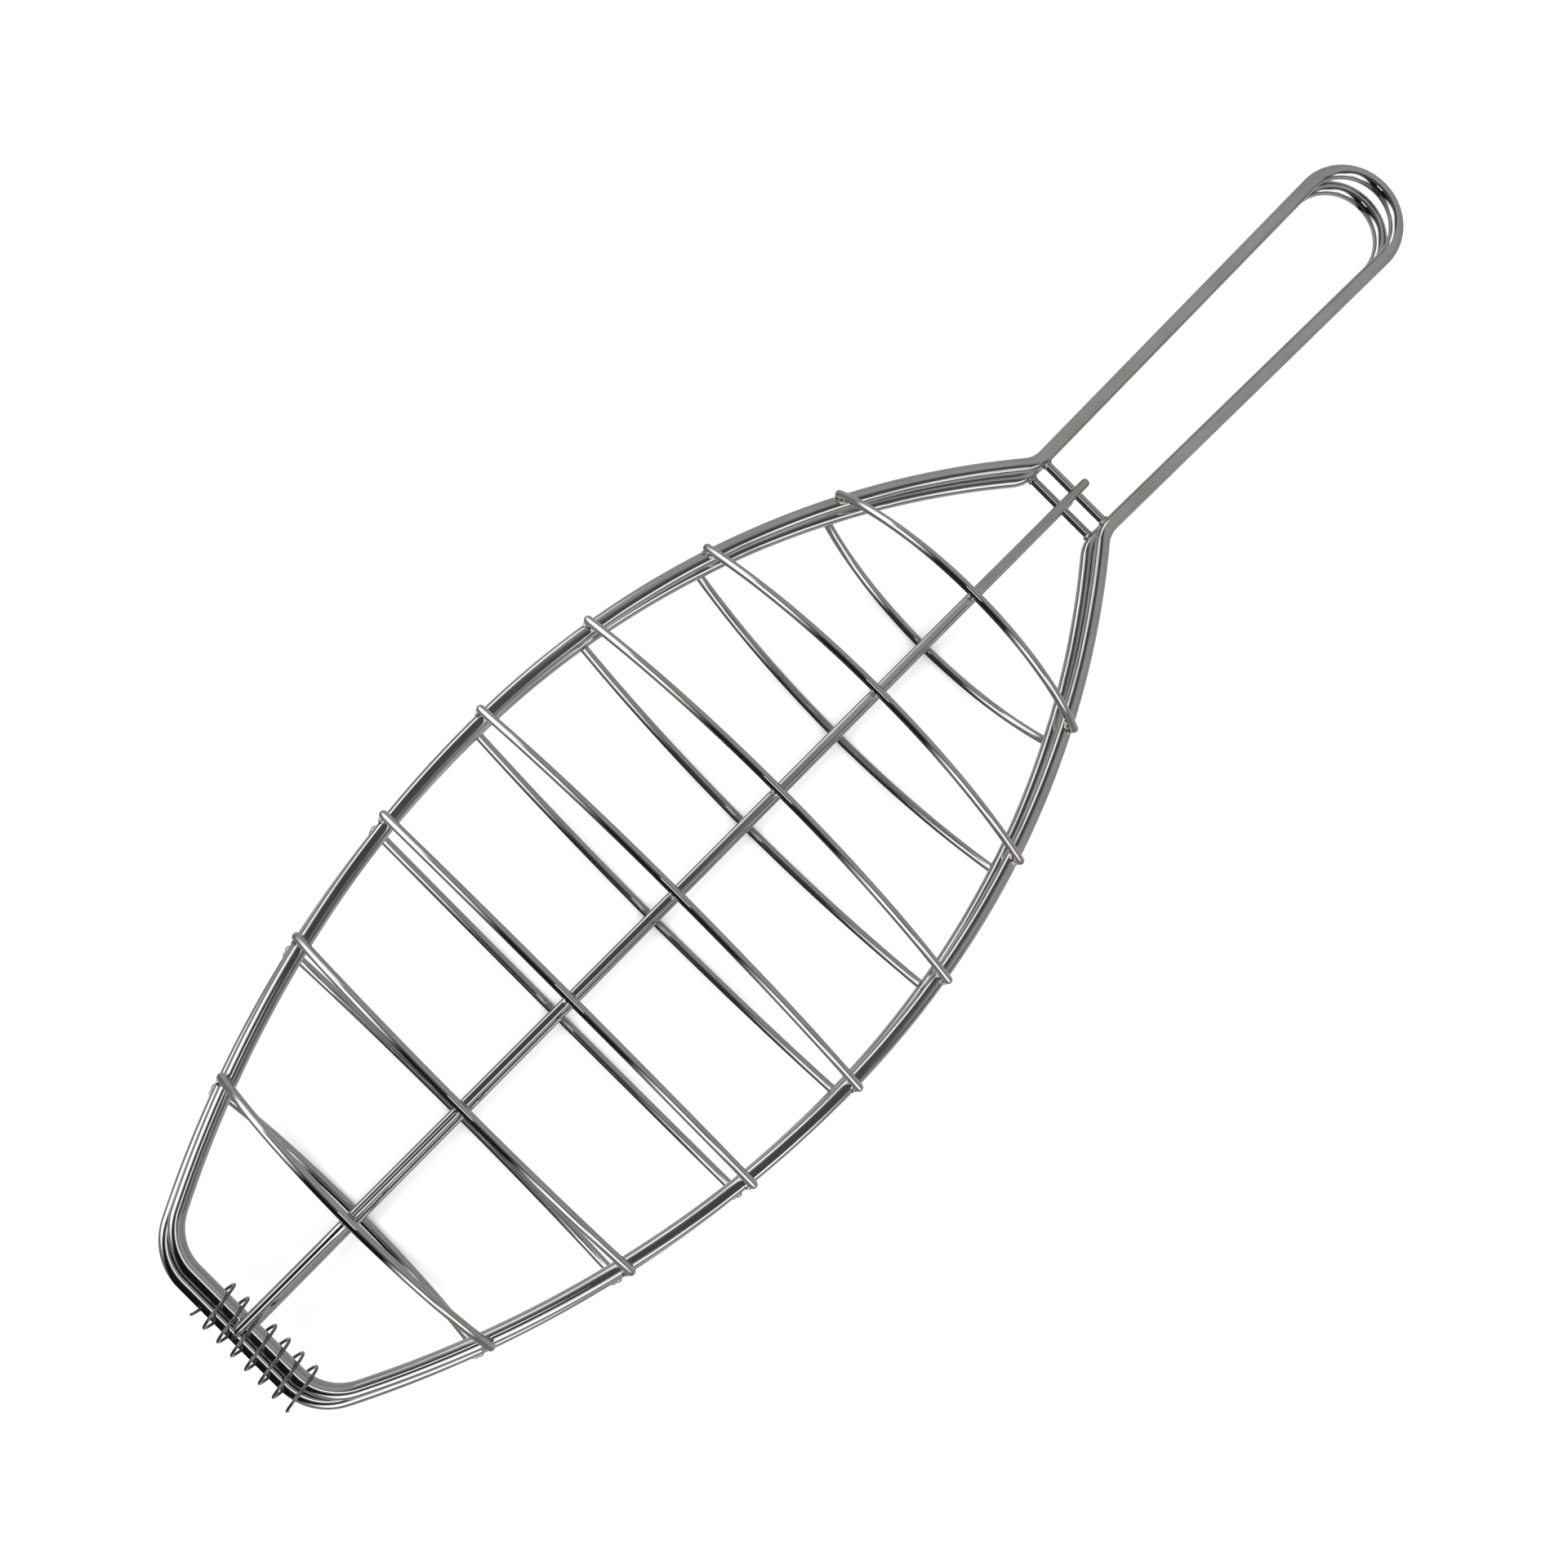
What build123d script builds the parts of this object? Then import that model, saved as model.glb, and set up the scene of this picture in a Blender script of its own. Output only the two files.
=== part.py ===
from build123d import *
import os
from math import asin, atan2, cos, degrees, hypot, radians, sin, sqrt, tan

# Hinged wire basket for grilling a whole fish.
# Two arched halves of welded steel wire close over the fish, and each half
# runs out into a long handle loop. A loose coil spring holds the two end bars
# together as the hinge.
# +X runs from the hinge to the handle, +Y across, +Z up. The basket lies
# closed on its lower ribs, with the origin at the bottom centre of its box.

# Wires
frame_wire = 5.6
rod_wire = 3.5
rib_wire = 3.3
spring_wire = 1.1
weld_bite = 0.12  # how far welded wires sink into each other

# Half outline, to the outer edge of the frame wire, measured from the end bar
half_length = 594.4
widest_at = 202.4
half_width = 92.8
tail_radius = 397.0
head_radius = 335.0
corner_radius = 23.0
neck_bend_radius = 10.0
handle_half_width = 20.3
handle_flare = 1.0

# How the two halves lie on each other
half_gap = 0.3
lower_shift = frame_wire  # the lower half sits one wire nearer the hinge end

# Ribs, counted from the neck to the hinge
rib_count = 7
first_rib_at = 346.0
rib_pitch = 48.95
rib_rise = 30.7  # frame wire centre to rib wire centre at the crown
hook_end_angle = 18.0  # how far a rib's hook goes on, below the frame wire's centre

# Neck bar and centre rods
neck_bar_at = 412.4
rod_bend_radius = 25.0
rod_bend_beyond_rib = 5.0
rod_past_neck_bar = 3.6  # to the centre of the rod's round end
rod_past_end_bar = 0.0
upper_rod_y = 0.0
lower_rod_y = -2.3  # at the hinge, where it leaves the spring between two turns
lower_rod_y_at_neck = -0.6

# Hinge spring, wound right-handed round both end bars
spring_pitch = 6.4
spring_turns = 7.0
spring_play_lower = 0.3  # radial clearance to the lower end bar
spring_play_upper = 0.7  # and to the upper one, which the spring leaves where it bends
spring_end_y = 14.45

# Derived sizes
wire_r = frame_wire / 2
rib_r = rib_wire / 2
rod_r = rod_wire / 2
spring_wire_r = spring_wire / 2
half_rise = frame_wire + half_gap
bar_distance = hypot(lower_shift, half_rise)
spring_play = (spring_play_lower + spring_play_upper) / 2
spring_shift = (spring_play_upper - spring_play_lower) / 2 / bar_distance
spring_r = bar_distance / 2 + wire_r + spring_play + spring_wire_r
tail_r = tail_radius - wire_r
head_r = head_radius - wire_r
corner_r = corner_radius - wire_r
neck_r = neck_bend_radius + wire_r
crown_y = half_width - wire_r
leg_y = handle_half_width - wire_r
last_rib_at = first_rib_at - (rib_count - 1) * rib_pitch

# Places of the halves and the spring in the shared frame
spring_past_bar = spring_r + spring_wire_r - wire_r - (0.5 + spring_shift) * lower_shift
overall_length = spring_past_bar + lower_shift + half_length
lower_x = spring_past_bar - overall_length / 2
upper_x = lower_x + lower_shift
lower_z = rib_rise + rib_r
upper_z = lower_z + half_rise
spring_x = lower_x + wire_r + (0.5 + spring_shift) * lower_shift
spring_z = lower_z + (0.5 + spring_shift) * half_rise


def wire_along(path, radius, rounded=True):
    """Round wire along a path, with round ends unless the path is closed."""
    body = sweep(Plane(origin=path @ 0, z_dir=path % 0) * Circle(radius), path=path)
    if rounded:
        for end in (path @ 0, path @ 1):
            body += Pos(end) * Sphere(radius)
    return body


def outline():
    """Closed centreline of one half's frame and handle wire, at z = 0."""
    # The corner arc touches the end bar's line and the tail arc from inside.
    corner_across = widest_at - corner_radius
    corner_reach = tail_radius - corner_radius
    bar_end = half_width - tail_radius + sqrt(corner_reach**2 - corner_across**2)
    side_angle = degrees(asin(corner_across / corner_reach))
    # The neck bend touches the head arc from outside and runs into the leg.
    neck_reach = head_r + neck_r
    neck_rise = leg_y + neck_r - (crown_y - head_r)
    neck_angle = degrees(asin(sqrt(neck_reach**2 - neck_rise**2) / neck_reach))

    bar = Line((wire_r, 0), (wire_r, bar_end))
    corner = JernArc(bar @ 1, bar % 1, corner_r, side_angle - 90)
    tail = JernArc(corner @ 1, corner % 1, tail_r, -side_angle)
    head = JernArc(tail @ 1, tail % 1, head_r, -neck_angle)
    bend = JernArc(head @ 1, head % 1, neck_r, neck_angle + handle_flare)
    # The flared leg is as long as leaves room for the handle's round end.
    flare = radians(handle_flare)
    end_slope = tan(radians(45 + handle_flare / 2))
    room = half_length - wire_r - (bend @ 1).X - (bend @ 1).Y * end_slope
    leg_end = bend @ 1 + (bend % 1) * room / (cos(flare) + sin(flare) * end_slope)
    leg = Line(bend @ 1, leg_end)
    end = JernArc(leg_end, leg % 1, leg_end.Y / cos(flare), -90 - handle_flare)
    side = [curve.edge() for curve in (bar, corner, tail, head, bend, leg, end)]
    return Wire(side + [edge.mirror(Plane.XZ) for edge in side])


def frame():
    """Frame, end bar and handle loop of one half, from one closed wire."""
    return wire_along(outline(), wire_r, rounded=False)


def neck_bar():
    """Straight bar welded between the two neck bends."""
    length = 2 * (leg_y - wire_r + weld_bite)
    return Pos(neck_bar_at, 0, 0) * Rot(90, 0, 0) * Cylinder(rib_r, length)


def rib(x):
    """Arched cross rib, hooked round the outside of the frame wire at both ends."""
    radius = tail_r if x < widest_at else head_r
    run = x - widest_at
    side = crown_y - radius + sqrt(radius**2 - run**2)
    # The frame wire crosses the rib's plane at an angle, as an ellipse.
    hook_r = wire_r / sqrt(1 - (run / radius) ** 2) + rib_r - weld_bite
    top = rib_rise - hook_r
    centre_z = (top**2 - side**2) / (2 * top)
    arch_half_angle = degrees(atan2(side, -centre_z))
    start_angle = radians(180 + hook_end_angle)
    start = (hook_r * cos(start_angle) - side, hook_r * sin(start_angle))
    heading = (sin(start_angle), -cos(start_angle))
    hook_angle = 90 + hook_end_angle - arch_half_angle
    hook = JernArc(start, heading, hook_r, -hook_angle)
    arch = JernArc(hook @ 1, hook % 1, rib_rise - centre_z, -2 * arch_half_angle)
    far_hook = JernArc(arch @ 1, arch % 1, hook_r, -hook_angle)
    cross_plane = Plane(origin=(x, 0, 0), x_dir=(0, 1, 0), z_dir=(1, 0, 0))
    path = cross_plane * Wire([hook.edge(), arch.edge(), far_hook.edge()])
    return wire_along(path, rib_r)


def rod_end(bend_x, bend_z, bar_x, bar_r, past_bar):
    """End of the straight stretch that comes down from a bend and rests on a bar."""
    reach = bar_r + rod_r - weld_bite
    span = hypot(bar_x - bend_x, bend_z)
    slope = atan2(bend_z, abs(bar_x - bend_x)) - asin(reach / span)
    length = sqrt(span**2 - reach**2) + past_bar
    side = 1 if bar_x > bend_x else -1
    return bend_x + side * length * cos(slope), bend_z - length * sin(slope)


def centre_rod(hinge_y, neck_y):
    """Long rod under the rib crowns, bent down to the neck bar and the end bar."""
    crown_z = rib_rise - rib_r - rod_r + weld_bite
    neck_bend_x = first_rib_at + rod_bend_beyond_rib
    hinge_bend_x = last_rib_at - rod_bend_beyond_rib
    neck_end = rod_end(neck_bend_x, crown_z, neck_bar_at, rib_r, rod_past_neck_bar)
    hinge_end = rod_end(hinge_bend_x, crown_z, wire_r, wire_r, rod_past_end_bar)
    bends = [(neck_bend_x, crown_z), (hinge_bend_x, crown_z)]
    flat = FilletPolyline(neck_end, *bends, hinge_end, radius=rod_bend_radius)
    upright = Plane(origin=(0, 0, 0), x_dir=(1, 0, 0), z_dir=(0, -1, 0))
    body = wire_along(upright * Wire(flat.edges()), rod_r)
    skew = degrees(atan2(neck_y - hinge_y, neck_bar_at - wire_r))
    return Pos(wire_r, hinge_y, 0) * Rot(0, 0, skew) * Pos(-wire_r, 0, 0) * body


def hinge_spring():
    """Loose coil round both end bars, starting on the side away from the handle."""
    coil = Helix(spring_pitch, spring_pitch * spring_turns, spring_r)
    body = wire_along(Rot(0, 0, 180) * Wire(coil.edges()), spring_wire_r)
    return Pos(spring_x, spring_end_y, spring_z) * Rot(90, 0, 0) * body


def place_upper(body):
    return Pos(upper_x, 0, upper_z) * body


def place_lower(body):
    return Pos(lower_x, 0, lower_z) * mirror(body, Plane.XY)


nodes = {"hinge_spring": hinge_spring()}
halves = [
    ("upper", place_upper, upper_rod_y, upper_rod_y),
    ("lower", place_lower, lower_rod_y, lower_rod_y_at_neck),
]
for half, place, hinge_y, neck_y in halves:
    nodes[f"{half}_frame"] = place(frame())
    nodes[f"{half}_neck_bar"] = place(neck_bar())
    nodes[f"{half}_centre_rod"] = place(centre_rod(hinge_y, neck_y))
    for number in range(rib_count):
        rib_x = first_rib_at - number * rib_pitch
        nodes[f"{half}_rib_{number + 1}"] = place(rib(rib_x))

os.makedirs("parts", exist_ok=True)
for name, body in nodes.items():
    export_step(body, f"parts/{name}.step")
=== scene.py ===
from math import asin, atan2, cos, degrees, hypot, pi, radians, sin, sqrt, tan

import bmesh
import bpy
import numpy as np
from mathutils import Matrix, Vector, noise


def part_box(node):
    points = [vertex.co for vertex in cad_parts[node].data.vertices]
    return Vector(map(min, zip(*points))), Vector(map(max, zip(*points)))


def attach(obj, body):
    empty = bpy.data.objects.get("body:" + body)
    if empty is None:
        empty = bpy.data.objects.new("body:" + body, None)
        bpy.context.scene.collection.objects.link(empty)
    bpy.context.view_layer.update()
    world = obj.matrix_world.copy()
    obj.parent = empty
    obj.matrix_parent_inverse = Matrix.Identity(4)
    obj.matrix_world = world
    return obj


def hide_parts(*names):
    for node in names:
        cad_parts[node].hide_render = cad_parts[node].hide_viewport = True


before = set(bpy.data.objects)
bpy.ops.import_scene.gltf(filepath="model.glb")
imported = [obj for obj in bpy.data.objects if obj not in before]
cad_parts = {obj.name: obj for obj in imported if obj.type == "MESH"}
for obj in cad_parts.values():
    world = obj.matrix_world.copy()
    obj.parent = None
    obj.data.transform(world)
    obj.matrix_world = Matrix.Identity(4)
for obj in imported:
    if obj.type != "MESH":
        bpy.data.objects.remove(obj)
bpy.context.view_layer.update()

# Hinged wire basket for grilling a whole fish, in polished stainless steel.
# Every wire is rebuilt as a finer tube along the CAD's own centreline, because
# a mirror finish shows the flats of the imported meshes. Only the ribs differ: they
# end on top of the frame wire, where the CAD's go on a little round its outside.
# Lengths are in mm here and are turned into metres where the meshes are made.
MM = 0.001

# Driving dimensions, as in the CAD model
FRAME_R = 2.8
ROD_R = 1.75
RIB_R = 1.65
SPRING_WIRE_R = 0.55
WELD_BITE = 0.12
HALF_LENGTH = 594.4
WIDEST_AT = 202.4
HALF_WIDTH = 92.8
TAIL_RADIUS = 397.0
HEAD_RADIUS = 335.0
CORNER_RADIUS = 23.0
NECK_BEND_RADIUS = 10.0
HANDLE_HALF_WIDTH = 20.3
HANDLE_FLARE = 1.0
RIB_COUNT = 7
FIRST_RIB_AT = 346.0
RIB_PITCH = 48.95
RIB_RISE = 30.7
RIB_OVERHANG = 2.6  # how far out a rib's end lies from the frame wire's centre
NECK_BAR_AT = 412.4
ROD_BEND_RADIUS = 25.0
ROD_BEND_BEYOND_RIB = 5.0
ROD_PAST_NECK_BAR = 3.6
ROD_PAST_END_BAR = 0.0
ROD_ENDS_Y = {"upper": (0.0, 0.0), "lower": (-2.3, -0.6)}  # at the hinge, at the neck
SPRING_PITCH = 6.4
SPRING_TURNS = 7.0
HALVES = ("lower", "upper")

TAIL_R = TAIL_RADIUS - FRAME_R
HEAD_R = HEAD_RADIUS - FRAME_R
CROWN_Y = HALF_WIDTH - FRAME_R
LEG_Y = HANDLE_HALF_WIDTH - FRAME_R

# Mesh fineness
SAMPLE_STEP = 1.6  # longest step along a wire
SAMPLE_TURN = 3.0  # largest turn between two rings, in degrees
SIDES = 40
SPRING_SIDES = 20
CAP_RINGS = 7

# Painted shade on the frame: its end bars, under the spring, and the wire round them are darkened and
# browned in colour, for the dark reflections near the hinge
END_BAR_PAINTED_SHADE = 1.6
PAINTED_SHADE_REACH = 90.0

AIR_LEVEL = 1.15  # brightness of the pale surroundings


# ---------------------------------------------------------------- centrelines


def walk(start, heading, runs):
    """Points along runs of (radius, turn in degrees), or (0, length) for a straight run."""
    x, y = start
    points = [(x, y)]
    for radius, amount in runs:
        if radius:
            length = radius * radians(abs(amount))
            steps = max(int(abs(amount) / SAMPLE_TURN), int(length / SAMPLE_STEP)) + 1
            turn = radians(amount) / steps
            for _ in range(steps):
                chord = 2 * radius * sin(abs(turn) / 2)
                heading += turn / 2
                x += chord * cos(heading)
                y += chord * sin(heading)
                heading += turn / 2
                points.append((x, y))
        else:
            steps = int(amount / SAMPLE_STEP) + 1
            for _ in range(steps):
                x += amount / steps * cos(heading)
                y += amount / steps * sin(heading)
                points.append((x, y))
    return points, heading


def outline():
    """Closed centreline of one half's frame, in its own plane."""
    across = WIDEST_AT - CORNER_RADIUS
    reach = TAIL_RADIUS - CORNER_RADIUS
    bar_end = HALF_WIDTH - TAIL_RADIUS + sqrt(reach**2 - across**2)
    side_angle = degrees(asin(across / reach))
    neck_r = NECK_BEND_RADIUS + FRAME_R
    neck_reach = HEAD_R + neck_r
    neck_rise = LEG_Y + neck_r - (CROWN_Y - HEAD_R)
    neck_angle = degrees(asin(sqrt(neck_reach**2 - neck_rise**2) / neck_reach))
    runs = [
        (0, bar_end),
        (CORNER_RADIUS - FRAME_R, side_angle - 90),
        (TAIL_R, -side_angle),
        (HEAD_R, -neck_angle),
        (neck_r, neck_angle + HANDLE_FLARE),
    ]
    side, heading = walk((FRAME_R, 0), pi / 2, runs)
    flare = radians(HANDLE_FLARE)
    end_slope = tan(radians(45 + HANDLE_FLARE / 2))
    bend_x, bend_y = side[-1]
    room = HALF_LENGTH - FRAME_R - bend_x - bend_y * end_slope
    leg = room / (cos(flare) + sin(flare) * end_slope)
    leg_end_y = bend_y + leg * sin(flare)
    runs = [(0, leg), (leg_end_y / cos(flare), -90 - HANDLE_FLARE)]
    handle, heading = walk(side[-1], heading, runs)
    side += handle[1:]
    return np.array([(x, y, 0) for x, y in side + [(x, -y) for x, y in side[-2:0:-1]]])


def rib_line(x):
    """Centreline of the cross rib at x, welded on top of the frame at both ends."""
    radius = TAIL_R if x < WIDEST_AT else HEAD_R
    run = x - WIDEST_AT
    side = CROWN_Y - radius + sqrt(radius**2 - run**2)
    reach = FRAME_R / sqrt(1 - (run / radius) ** 2) + RIB_R - WELD_BITE
    end_y = side + RIB_OVERHANG
    end_z = sqrt(reach**2 - RIB_OVERHANG**2)
    rise = RIB_RISE - end_z
    arch_r = (end_y**2 + rise**2) / (2 * rise)
    slope = asin(end_y / arch_r)
    points, _ = walk((-end_y, end_z), slope, [(arch_r, -2 * degrees(slope))])
    return np.array([(x, y, z) for y, z in points]), side


def rod_end(bend_x, bend_z, bar_x, bar_r, past_bar):
    """Where the rod ends that comes down from a bend and rests on a bar."""
    reach = bar_r + ROD_R - WELD_BITE
    span = hypot(bar_x - bend_x, bend_z)
    slope = atan2(bend_z, abs(bar_x - bend_x)) - asin(reach / span)
    length = sqrt(span**2 - reach**2) + past_bar
    side = 1 if bar_x > bend_x else -1
    return (bend_x + side * length * cos(slope), bend_z - length * sin(slope)), slope, length


def rod_line(half):
    """Centreline of the long rod under the rib crowns."""
    crown_z = RIB_RISE - RIB_R - ROD_R + WELD_BITE
    neck_bend = FIRST_RIB_AT + ROD_BEND_BEYOND_RIB
    hinge_bend = FIRST_RIB_AT - (RIB_COUNT - 1) * RIB_PITCH - ROD_BEND_BEYOND_RIB
    _, neck_slope, neck_run = rod_end(neck_bend, crown_z, NECK_BAR_AT, RIB_R, ROD_PAST_NECK_BAR)
    start, slope, hinge_run = rod_end(hinge_bend, crown_z, FRAME_R, FRAME_R, ROD_PAST_END_BAR)
    cut = ROD_BEND_RADIUS * tan(slope / 2)
    neck_cut = ROD_BEND_RADIUS * tan(neck_slope / 2)
    runs = [
        (0, hinge_run - cut),
        (ROD_BEND_RADIUS, -degrees(slope)),
        (0, neck_bend - hinge_bend - cut - neck_cut),
        (ROD_BEND_RADIUS, -degrees(neck_slope)),
        (0, neck_run - neck_cut),
    ]
    points, _ = walk(start, slope, runs)
    hinge_y, neck_y = ROD_ENDS_Y[half]
    skew = atan2(neck_y - hinge_y, NECK_BAR_AT - FRAME_R)
    along = np.array([(cos(skew), sin(skew), 0)])
    points = np.array(points)
    line = (points[:, :1] - FRAME_R) * along + np.array([(FRAME_R, hinge_y, 0)])
    line[:, 2] = points[:, 1]
    return line, np.array([-sin(skew), cos(skew), 0])


def coil_line():
    """Centreline of the spring about its own axis, and the outward direction at each point."""
    low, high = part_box("hinge_spring")
    radius = (high.z - low.z) / 2 / MM - SPRING_WIRE_R
    turn = np.linspace(0, 2 * pi * SPRING_TURNS, int(SPRING_TURNS * 72))
    out = np.stack([-np.cos(turn), 0 * turn, -np.sin(turn)], axis=1)
    line = radius * out
    line[:, 1] = -SPRING_PITCH * turn / (2 * pi)
    centre = (low + high) / 2 / MM
    line += np.array([centre.x, centre.y - (line[0, 1] + line[-1, 1]) / 2, centre.z])
    return line, out


# ---------------------------------------------------------------------- tubes


def tube(name, line, radius, across, closed=False, sides=SIDES):
    """Round wire along a line, with round ends; it keeps the straightened wire's coordinates."""
    line = np.asarray(line, float)
    ahead = np.roll(line, -1, axis=0) - line
    behind = line - np.roll(line, 1, axis=0)
    if not closed:
        ahead[-1] = behind[-1]
        behind[0] = ahead[0]
    tangent = ahead / np.linalg.norm(ahead, axis=1)[:, None]
    tangent += behind / np.linalg.norm(behind, axis=1)[:, None]
    tangent /= np.linalg.norm(tangent, axis=1)[:, None]
    across = np.broadcast_to(across, line.shape)
    third = np.cross(tangent, across)
    third /= np.linalg.norm(third, axis=1)[:, None]
    across = np.cross(third, tangent)
    run = np.concatenate([[0], np.cumsum(np.linalg.norm(np.diff(line, axis=0), axis=1))])
    rings = [(line[i], across[i], third[i], radius, run[i]) for i in range(len(line))]
    if not closed:
        first, last = [], []
        for ring in range(CAP_RINGS, 0, -1):
            angle = pi / 2 * ring / (CAP_RINGS + 0.3)
            out, size = radius * sin(angle), radius * cos(angle)
            first.append((line[0] - out * tangent[0], across[0], third[0], size, run[0] - out))
            last.append((line[-1] + out * tangent[-1], across[-1], third[-1], size, run[-1] + out))
        rings = first + rings + last[::-1]
    angle = 2 * pi * np.arange(sides) / sides
    verts, straight = [], []
    for centre, u, v, size, along in rings:
        circle = np.outer(np.cos(angle), u) + np.outer(np.sin(angle), v)
        verts.append(centre + size * circle)
        flat = np.stack([size * np.cos(angle), size * np.sin(angle), angle * 0 + along], axis=1)
        straight.append(flat)
    verts, straight = np.concatenate(verts), np.concatenate(straight)
    count = len(rings)
    faces = []
    for i in range(count if closed else count - 1):
        here, there = i * sides, (i + 1) % count * sides
        for k in range(sides):
            k2 = (k + 1) % sides
            faces.append((here + k, here + k2, there + k2, there + k))
    if not closed:
        faces.append(tuple(range(sides - 1, -1, -1)))
        faces.append(tuple(range((count - 1) * sides, count * sides)))
    return mesh_object(name, verts, faces, straight)


def mesh_object(name, verts, faces, straight):
    mesh = bpy.data.meshes.new(name)
    mesh.from_pydata([tuple(v) for v in verts * MM], [], faces)
    fix = bmesh.new()
    fix.from_mesh(mesh)
    bmesh.ops.recalc_face_normals(fix, faces=fix.faces)
    fix.to_mesh(mesh)
    fix.free()
    mesh.polygons.foreach_set("use_smooth", [True] * len(mesh.polygons))
    attribute = mesh.attributes.new("straight", "FLOAT_VECTOR", "POINT")
    attribute.data.foreach_set("vector", (straight * MM).astype(np.float32).ravel())
    obj = bpy.data.objects.new(name, mesh)
    bpy.context.scene.collection.objects.link(obj)
    return obj


def heat(obj, sources):
    """Marks how strongly each point is tinted, by weld heating and, on the frame's end bars, by painted
    shade: full at a spot, none at the spots' reach.
    """
    mesh = obj.data
    points = np.zeros(len(mesh.vertices) * 3)
    mesh.vertices.foreach_get("co", points)
    points = points.reshape(-1, 3) / MM
    level = np.zeros(len(points))
    for spots, reach in sources:
        for spot, strength in spots:
            distance = np.linalg.norm(points - np.asarray(spot), axis=1)
            level = np.maximum(level, strength * np.clip(1 - distance / reach, 0, 1))
    attribute = mesh.attributes.new("heat", "FLOAT", "POINT")
    attribute.data.foreach_set("value", level.astype(np.float32))


# ------------------------------------------------------------------ materials


class Nodes:
    """The node tree of a new material or of the world, with short calls for what they need."""

    def __init__(self, name=None, tree=None):
        self.tree = tree
        if tree is None:
            self.material = bpy.data.materials.new(name)
            self.material.use_nodes = True
            self.tree = self.material.node_tree
            self.shader = self.tree.nodes["Principled BSDF"]

    def add(self, kind, links=(), **settings):
        node = self.tree.nodes.new(kind)
        for key, value in settings.items():
            if hasattr(node, key):
                setattr(node, key, value)
            else:
                node.inputs[key.replace("_", " ")].default_value = value
        for socket, source in dict(links).items():
            self.tree.links.new(source, node.inputs[socket])
        return node

    def stretched(self, vector, scale):
        return self.add("ShaderNodeMapping", {"Vector": vector}, Scale=scale).outputs["Vector"]

    def grain(self, vector, scale, detail=3.0, rough=0.55, distortion=0.0):
        node = self.add("ShaderNodeTexNoise", {"Vector": vector})
        node.inputs["Scale"].default_value = scale
        node.inputs["Detail"].default_value = detail
        node.inputs["Roughness"].default_value = rough
        node.inputs["Distortion"].default_value = distortion
        return node.outputs["Fac"]

    def ramp(self, factor, stops):
        node = self.add("ShaderNodeValToRGB", {"Fac": factor})
        elements = node.color_ramp.elements
        for element, (place, colour) in zip(elements, (stops[0], stops[-1])):
            element.position, element.color = place, colour
        for place, colour in stops[1:-1]:
            elements.new(place).color = colour
        return node.outputs["Color"]

    def spread(self, value, low, high, to_low, to_high):
        node = self.add("ShaderNodeMapRange", {"Value": value})
        limits = {"From Min": low, "From Max": high, "To Min": to_low, "To Max": to_high}
        for socket, number in limits.items():
            node.inputs[socket].default_value = number
        return node.outputs["Result"]

    def maths(self, operation, *values):
        node = self.add("ShaderNodeMath", operation=operation)
        for socket, value in zip(node.inputs, values):
            if isinstance(value, float):
                socket.default_value = value
            else:
                self.tree.links.new(value, socket)
        return node.outputs["Value"]

    def blend(self, factor, first, second):
        node = self.add("ShaderNodeMix", data_type="RGBA")
        self.tree.links.new(factor, node.inputs["Factor"])
        for socket, value in ((node.inputs[6], first), (node.inputs[7], second)):
            if isinstance(value, tuple):
                socket.default_value = value
            else:
                self.tree.links.new(value, socket)
        return node.outputs[2]

    def soft_window(self, limits):
        """1 where every value lies between its middle two limits, fading to 0 at its outer two."""
        inside = 1.0
        for value, low, rise, fall, high in limits:
            for far, near in ((low, rise), (high, fall)):
                step = self.add("ShaderNodeMapRange", {"Value": value}, interpolation_type="SMOOTHSTEP")
                step.inputs["From Min"].default_value = far
                step.inputs["From Max"].default_value = near
                inside = self.maths("MULTIPLY", step.outputs["Result"], inside)
        return inside

    def bump(self, height, depth, under=None):
        node = self.add("ShaderNodeBump", {"Height": height})
        node.inputs["Strength"].default_value = 1.0
        node.inputs["Distance"].default_value = depth
        if under is not None:
            self.tree.links.new(under, node.inputs["Normal"])
        return node.outputs["Normal"]

    def to_shader(self, **sources):
        for socket, source in sources.items():
            self.tree.links.new(source, self.shader.inputs[socket.replace("_", " ")])


def grey(value, warmth=0.0):
    return (value * (1 + warmth), value, value * (1 - 1.6 * warmth), 1.0)


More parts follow.
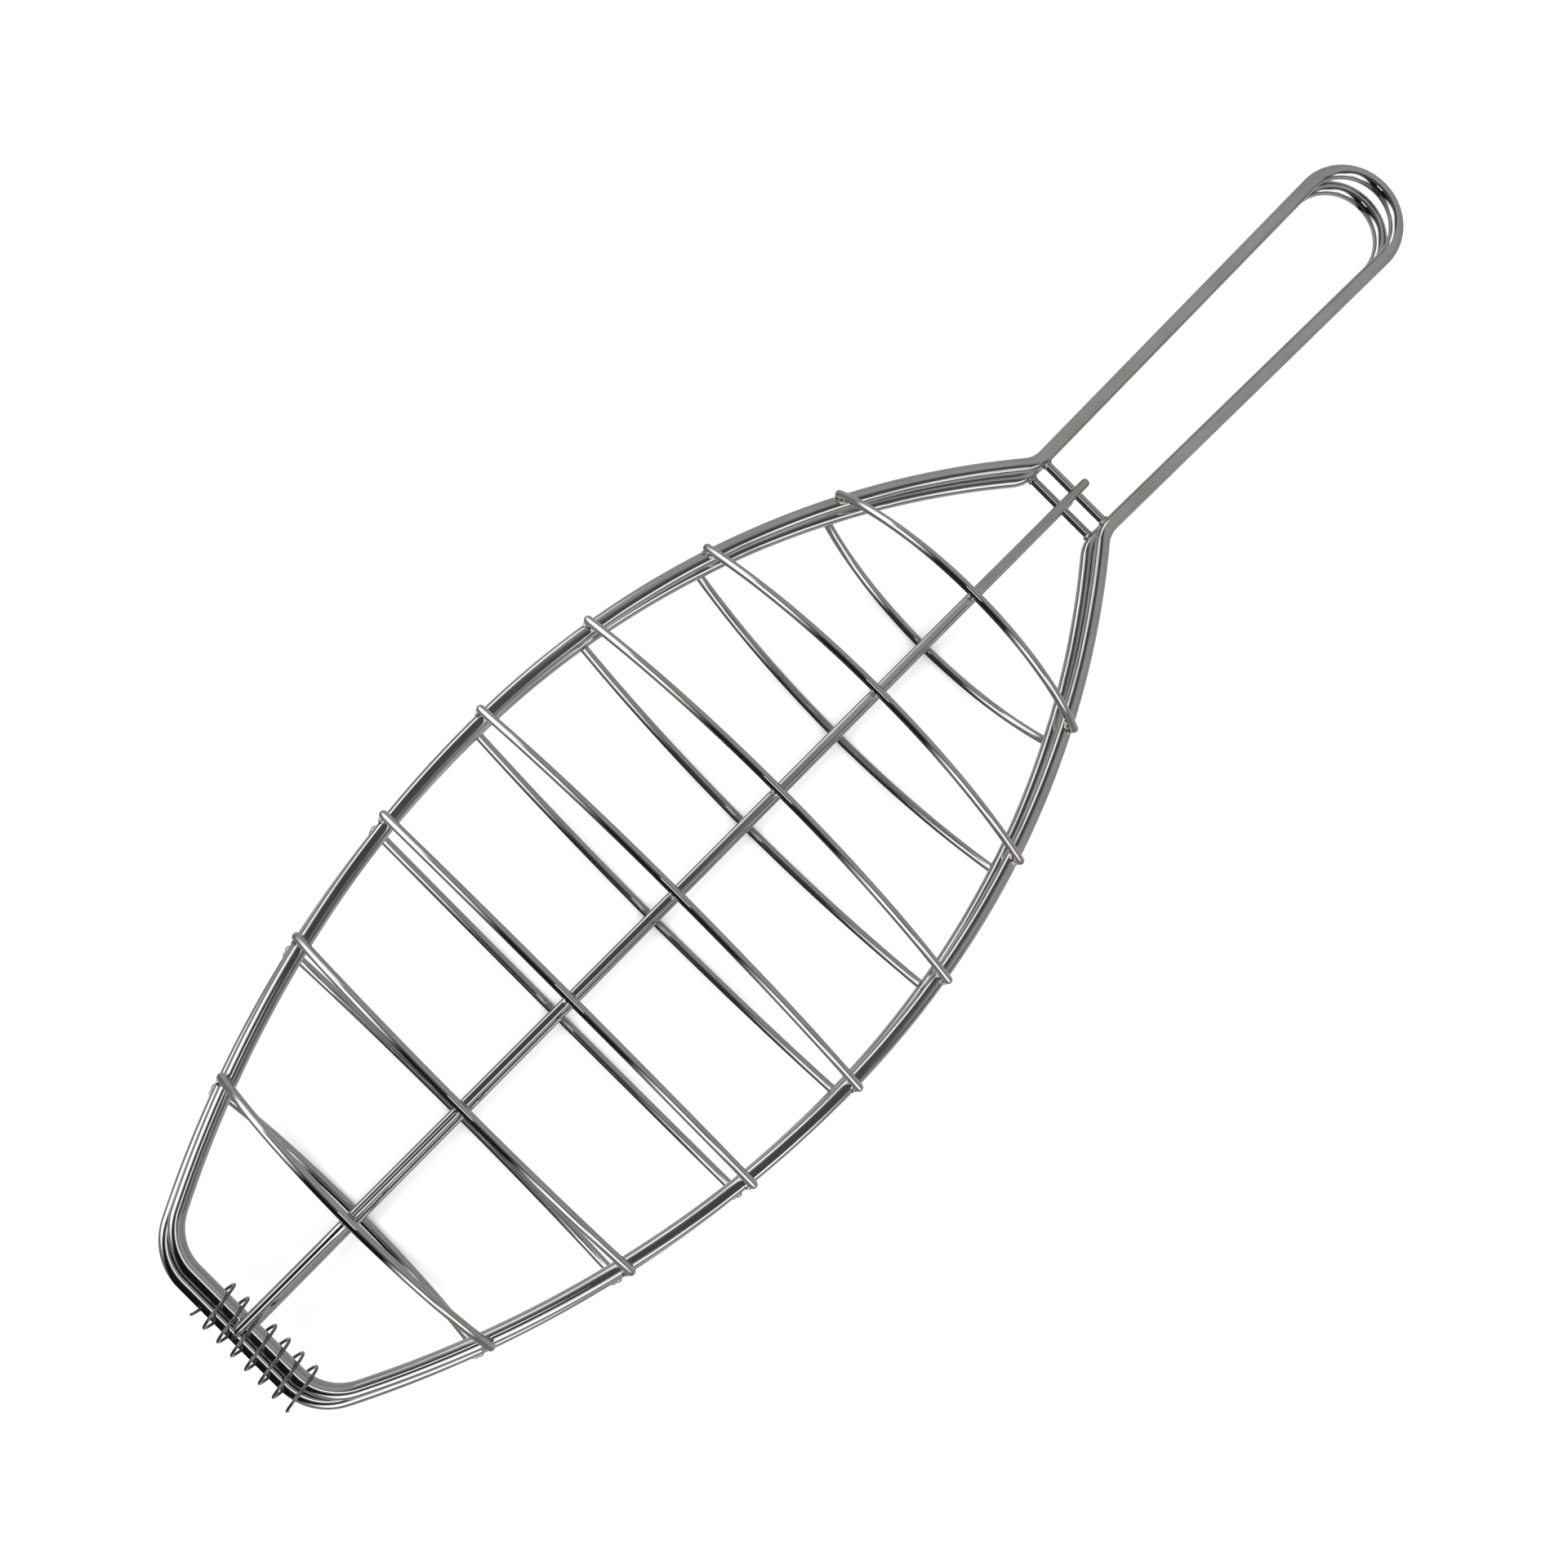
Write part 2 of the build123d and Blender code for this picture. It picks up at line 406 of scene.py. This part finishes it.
def steel(name, tone, haze, tint, draw_lines):
    """Polished wire: drawn lines along it, faint haze and rubs, a tint near the welds from their
    heating, and painted shade on the frame near the hinge.
    """
    mat = Nodes(name)
    straight = mat.add("ShaderNodeAttribute", attribute_name="straight").outputs["Vector"]
    level = mat.add("ShaderNodeAttribute", attribute_name="heat").outputs["Fac"]
    # Cloudy polish: slow changes of tone and gloss along the wire.
    cloud = mat.grain(mat.stretched(straight, (120, 120, 45)), 1.0, 4.0)
    tones = [(0.3, grey(tone * 0.88, 0.015)), (0.55, grey(tone, 0.008)), (0.75, grey(tone * 1.08))]
    colour = mat.ramp(cloud, tones)
    # Tint near the welds from their heating, and painted shade near the hinge on the frame: dull grey,
    # brown, then blue-grey, broken up by noise.
    patchy = mat.grain(mat.stretched(straight, (500, 500, 260)), 1.0, 5.0, 0.6)
    broken = mat.spread(patchy, 0.3, 0.7, 0.45, 1.35)
    burn_and_painted_shade = mat.maths("MULTIPLY", mat.maths("MULTIPLY", level, tint), broken)
    tinted = mat.ramp(
        burn_and_painted_shade,
        [
            (0.0, grey(tone)),
            (0.3, (tone * 0.52, tone * 0.48, tone * 0.44, 1)),
            (0.6, (tone * 0.42, tone * 0.34, tone * 0.27, 1)),
            (0.85, (tone * 0.34, tone * 0.33, tone * 0.36, 1)),
            (1.0, grey(tone * 0.24)),
        ],
    )
    colour = mat.blend(mat.spread(burn_and_painted_shade, 0.05, 0.3, 0.0, 1.0), colour, tinted)
    # Drawn lines along the wire, and a few short rubbed marks across it.
    lines = mat.grain(mat.stretched(straight, (5200, 5200, 26)), 1.0, 2.0)
    rubbed = mat.grain(mat.stretched(straight, (700, 700, 5200)), 1.0, 2.0, 0.5, 0.6)
    rubs = mat.spread(rubbed, 0.62, 0.72, 0.0, 1.0)
    wavy = mat.grain(mat.stretched(straight, (260, 260, 70)), 1.0, 1.0)
    rough = mat.spread(cloud, 0.3, 0.75, haze * 0.55, haze * 1.5)
    rough = mat.maths("ADD", rough, mat.maths("MULTIPLY", rubs, 0.05))
    rough = mat.maths("ADD", rough, mat.maths("MULTIPLY", burn_and_painted_shade, 0.09))
    normal = mat.bump(wavy, 0.00003)
    normal = mat.bump(lines, draw_lines, normal)
    normal = mat.bump(rubs, 0.0000006, normal)
    mat.shader.inputs["Metallic"].default_value = 1.0
    mat.to_shader(Base_Color=colour, Roughness=rough, Normal=normal)
    return mat.material


def weld_metal():
    """Once-molten steel: dull, dimpled and discoloured."""
    mat = Nodes("weld_nugget")
    place = mat.add("ShaderNodeTexCoord").outputs["Object"]
    patch = mat.grain(place, 420.0, 5.0, 0.6)
    colour = mat.ramp(
        patch,
        [
            (0.28, (0.2, 0.15, 0.11, 1)),
            (0.42, (0.4, 0.35, 0.3, 1)),
            (0.55, (0.62, 0.61, 0.59, 1)),
            (0.75, (0.5, 0.5, 0.5, 1)),
        ],
    )
    dimples = mat.grain(place, 1500.0, 4.0, 0.6)
    rough = mat.spread(patch, 0.3, 0.7, 0.3, 0.1)
    mat.shader.inputs["Metallic"].default_value = 1.0
    mat.to_shader(Base_Color=colour, Roughness=rough, Normal=mat.bump(dimples, 0.00012))
    return mat.material


FINISH = {
    "frame": steel("polished_frame_wire", 0.53, 0.036, 0.5, 0.0000008),
    "rod": steel("polished_rod_wire", 0.53, 0.036, 1.0, 0.0000007),
    "rib": steel("polished_rib_wire", 0.53, 0.036, 0.9, 0.0000007),
    "spring": steel("hinge_spring_wire", 0.2, 0.08, 1.0, 0.0000007),
}
WELD_FINISH = weld_metal()


# --------------------------------------------------------------------- pieces


def finish(obj, node, body, kind):
    """Takes the CAD node's place, with a polished steel finish."""
    obj.data.materials.append(FINISH[kind])
    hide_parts(node)
    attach(obj, body)


def placer(half):
    """Turns a half's own coordinates into the shared frame: the lower half hangs upside down."""
    low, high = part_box(f"{half}_frame")
    origin = np.array([low.x, 0, (low.z + high.z) / 2]) / MM
    flip = np.array([1, 1, 1 if half == "upper" else -1])
    return lambda line: np.asarray(line, float) * flip + origin


def nugget(points, faces, straight, centre, axes, sizes, seed):
    """Adds one lump of weld metal, as a dented ellipsoid with its own axes."""
    lump = bmesh.new()
    bmesh.ops.create_icosphere(lump, subdivisions=4, radius=1.0)
    start = sum(len(p) for p in points)
    axes = np.array([np.asarray(a, float) / np.linalg.norm(a) for a in axes])
    own = []
    for vert in lump.verts:
        dent = noise.noise(vert.co * 1.6 + Vector((seed * 7.3, seed * 3.1, seed * 5.7)))
        dent += 0.4 * noise.noise(vert.co * 4.1 + Vector((seed * 2.9, 0, seed * 1.7)))
        own.append((np.array(vert.co) * (1 + 0.22 * dent) * np.array(sizes)) @ axes + centre)
    points.append(np.array(own))
    straight.append(np.array(own))
    faces.extend(tuple(start + v.index for v in face.verts) for face in lump.faces)
    lump.free()


X, Y, Z = np.eye(3)
for half in HALVES:
    body = f"{half}_half"
    place = placer(half)
    up = 1 if half == "upper" else -1
    rod, rod_across = rod_line(half)
    points, faces, straight = [], [], []
    welds = []
    seed = 1.0 if half == "upper" else 40.0

    def weld(centre, axes, sizes, strength):
        """One weld: a nugget at a place in the half's own coordinates, and the heating round it."""
        global seed
        seed += 1
        spot = place([centre])[0]
        flipped = [np.asarray(a, float) * np.array([1, 1, up]) for a in axes]
        nugget(points, faces, straight, spot, flipped, sizes, seed)
        welds.append((spot, strength))

    ribs = {}
    for number in range(RIB_COUNT):
        rib_x = FIRST_RIB_AT - number * RIB_PITCH
        line, side = rib_line(rib_x)
        ribs[number + 1] = line
        rod_y = np.interp(rib_x, rod[:, 0], rod[:, 1])
        contact_z = RIB_RISE - RIB_R
        weld((rib_x - 0.7, rod_y, contact_z), (X, Y, Z), (1.9, 1.5, 0.9), 0.75)
        for hand in (-1, 1):
            weld((rib_x - 1.4, hand * (side + 1.9), 2.1), (X, Y, Z), (1.6, 1.4, 1.0), 0.35)
    # The rod's welds on the neck bar and the end bar, and the neck bar's ends.
    rod_neck_y = np.interp(NECK_BAR_AT, rod[:, 0], rod[:, 1])
    weld((NECK_BAR_AT, rod_neck_y, RIB_R), (X, Y, Z), (1.5, 2.1, 0.9), 0.8)
    weld((FRAME_R, rod[0, 1], FRAME_R), (X, Y, Z), (1.9, 2.3, 1.0), 1.0)
    for hand in (-1, 1):
        bar_end_y = hand * (LEG_Y - FRAME_R)
        weld((NECK_BAR_AT, bar_end_y, 0.2), (X, Y, Z), (2.1, 1.1, 1.9), 0.9)

    neck_bar_end = LEG_Y - FRAME_R - WELD_BITE
    neck_bar = [(NECK_BAR_AT, y, 0) for y in np.linspace(-neck_bar_end, neck_bar_end, 20)]
    wires = {
        "frame": (outline(), FRAME_R, Z, "frame", 9.0),
        "centre_rod": (rod, ROD_R, rod_across, "rod", 10.0),
        "neck_bar": (neck_bar, RIB_R, Z, "rib", 9.0),
    }
    for number, line in ribs.items():
        wires[f"rib_{number}"] = (line, RIB_R, X, "rib", 8.0)
    # Painted shade: spots along the frame's end bar, under the spring, that darken and brown the frame
    # wire's colour near the hinge
    end_bar_painted_shade = [(point, END_BAR_PAINTED_SHADE) for point in place([(FRAME_R, y, 0) for y in range(-30, 31, 6)])]
    for part, (line, radius, across, kind, reach) in wires.items():
        node = f"{half}_{part}"
        obj = tube(f"{node}_wire", place(line), radius, across, closed=part == "frame")
        painted_shade = [(end_bar_painted_shade, PAINTED_SHADE_REACH)] if part == "frame" else []
        heat(obj, [(welds, reach)] + painted_shade)
        finish(obj, node, body, kind)

    beads = mesh_object(f"{half}_welds", np.concatenate(points), faces, np.concatenate(straight))
    beads.data.materials.append(WELD_FINISH)
    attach(beads, body)

line, outward = coil_line()
spring = tube("hinge_spring_wire", line, SPRING_WIRE_R, outward, sides=SPRING_SIDES)
heat(spring, [([(point, 0.6) for point in line[::24]], 9.0)])
finish(spring, "hinge_spring", "spring_coil", "spring")


# ---------------------------------------------------------------------- stage


def emitter(name, size_x, size_y, place, power, target, reflected=False):
    light = bpy.data.lights.new(name, "AREA")
    light.shape = "RECTANGLE"
    light.size, light.size_y, light.energy = size_x, size_y, power
    obj = bpy.data.objects.new(name, light)
    obj.location = place
    obj.rotation_euler = (Vector(target) - Vector(place)).to_track_quat("-Z", "Y").to_euler()
    obj.visible_glossy = reflected
    bpy.context.scene.collection.objects.link(obj)


def floor():
    half = 4.0
    mesh = bpy.data.meshes.new("floor")
    corners = [(-half, -half, 0), (half, -half, 0), (half, half, 0), (-half, half, 0)]
    mesh.from_pydata(corners, [], [(0, 1, 2, 3)])
    obj = bpy.data.objects.new("floor", mesh)
    bpy.context.scene.collection.objects.link(obj)
    mat = Nodes("pale_floor")
    mat.shader.inputs["Base Color"].default_value = (0.89, 0.89, 0.885, 1)
    mat.shader.inputs["Roughness"].default_value = 0.9
    mat.shader.inputs["Specular IOR Level"].default_value = 0.1
    mesh.materials.append(mat.material)
    obj.visible_glossy = False


# What the polished wires see round them, as patches on a map of directions: straight up is
# the middle of the map and the horizon is the circle of radius 1. Each patch has its brightness,
# then where it begins, is whole, is still whole and ends, towards the handle and to the left.
STUDIO = [
    (0.55, (-9, -8, 8, 9), (-9, -2.2, -1.5, -1.2)),  # lit floor, right
    (0.55, (-9, -8, 8, 9), (1.2, 1.5, 2.2, 9)),  # lit floor, left
    (0.1, (-0.2, -0.1, 0.04, 0.13), (-0.6, -0.45, 0.4, 0.52)),  # camera
    (0.012, (-9, -8, -0.3, -0.04), (-0.34, -0.2, 0.24, 0.4)),  # photographer and dark room
    (2.3, (-0.78, -0.56, -0.28, -0.04), (0.22, 0.45, 0.66, 0.85)),  # left softbox
    (2.2, (-0.8, -0.58, -0.28, -0.04), (-0.7, -0.5, -0.4, -0.2)),  # right softbox
    (1.9, (-0.5, -0.36, 0.17, 0.3), (0.5, 0.57, 0.76, 0.9)),  # strip light, left
    (1.9, (-0.5, -0.36, -0.02, 0.08), (-0.92, -0.78, -0.6, -0.5)),  # strip light, right
    (0.15, (0.08, 0.13, 0.22, 0.34), (-1.0, -0.85, -0.6, -0.44)),  # door, right
]


# Brightness of the room's walls between the patches, from behind the hinge to past the handle.
WALLS = [
    (-1.0, 0.27),
    (-0.05, 0.25),
    (0.05, 0.28),
    (0.13, 0.45),
    (0.3, 0.48),
    (0.6, 0.4),
    (0.85, 0.44),
    (1.0, 0.5),
]


def studio_air():
    """Pale surroundings to look at; the polished wires see the studio instead."""
    world = bpy.data.worlds.new("studio")
    bpy.context.scene.world = world
    world.use_nodes = True
    room = Nodes(tree=world.node_tree)
    way = room.add("ShaderNodeTexCoord").outputs["Generated"]
    parts = room.add("ShaderNodeSeparateXYZ", {"Vector": way}).outputs
    from_below = room.maths("MAXIMUM", room.maths("ADD", parts["Z"], 1.0), 0.05)
    ahead = room.maths("DIVIDE", parts["X"], from_below)
    left = room.maths("DIVIDE", parts["Y"], from_below)
    stops = [((spot + 1) / 2, grey(brightness, 0.02)) for spot, brightness in WALLS]
    seen = room.ramp(room.spread(ahead, -1.0, 1.0, 0.0, 1.0), stops)
    for brightness, along_x, along_y in STUDIO:
        patch = room.soft_window([(ahead, *along_x), (left, *along_y)])
        seen = room.blend(patch, seen, grey(brightness, 0.01))
    path = room.add("ShaderNodeLightPath").outputs["Is Glossy Ray"]
    seen = room.blend(path, grey(AIR_LEVEL), seen)
    room.tree.links.new(seen, room.tree.nodes["Background"].inputs["Color"])


floor()
studio_air()
centre = (0.0, 0.0, 0.03)
emitter("softbox_left", 1.6, 1.2, (-0.3, 1.1, 1.3), 11, centre)
emitter("softbox_right", 1.6, 1.2, (-0.3, -1.1, 1.3), 11, centre)
emitter("lamp_overhead", 0.2, 0.28, (-0.385, 0.0, 1.05), 0.28, centre, reflected=True)

# Camera: tilted 11 degrees from straight down, towards the handle.
tilt = radians(11.0)
towards_handle = Vector((cos(tilt), 0, sin(tilt)))
across = Vector((0, 1, 0))
right = (towards_handle - across).normalized()
above = (towards_handle + across).normalized()
back = right.cross(above)
camera_data = bpy.data.cameras.new("camera")
camera_data.sensor_width = 36.0
camera_data.lens = 41.04
camera = bpy.data.objects.new("camera", camera_data)
axes = Matrix((right, above, back)).transposed().to_4x4()
camera.matrix_world = Matrix.Translation((-0.1571, 0, 0.6601)) @ axes
bpy.context.scene.collection.objects.link(camera)
bpy.context.scene.camera = camera
bpy.context.scene.view_settings.view_transform = "Standard"
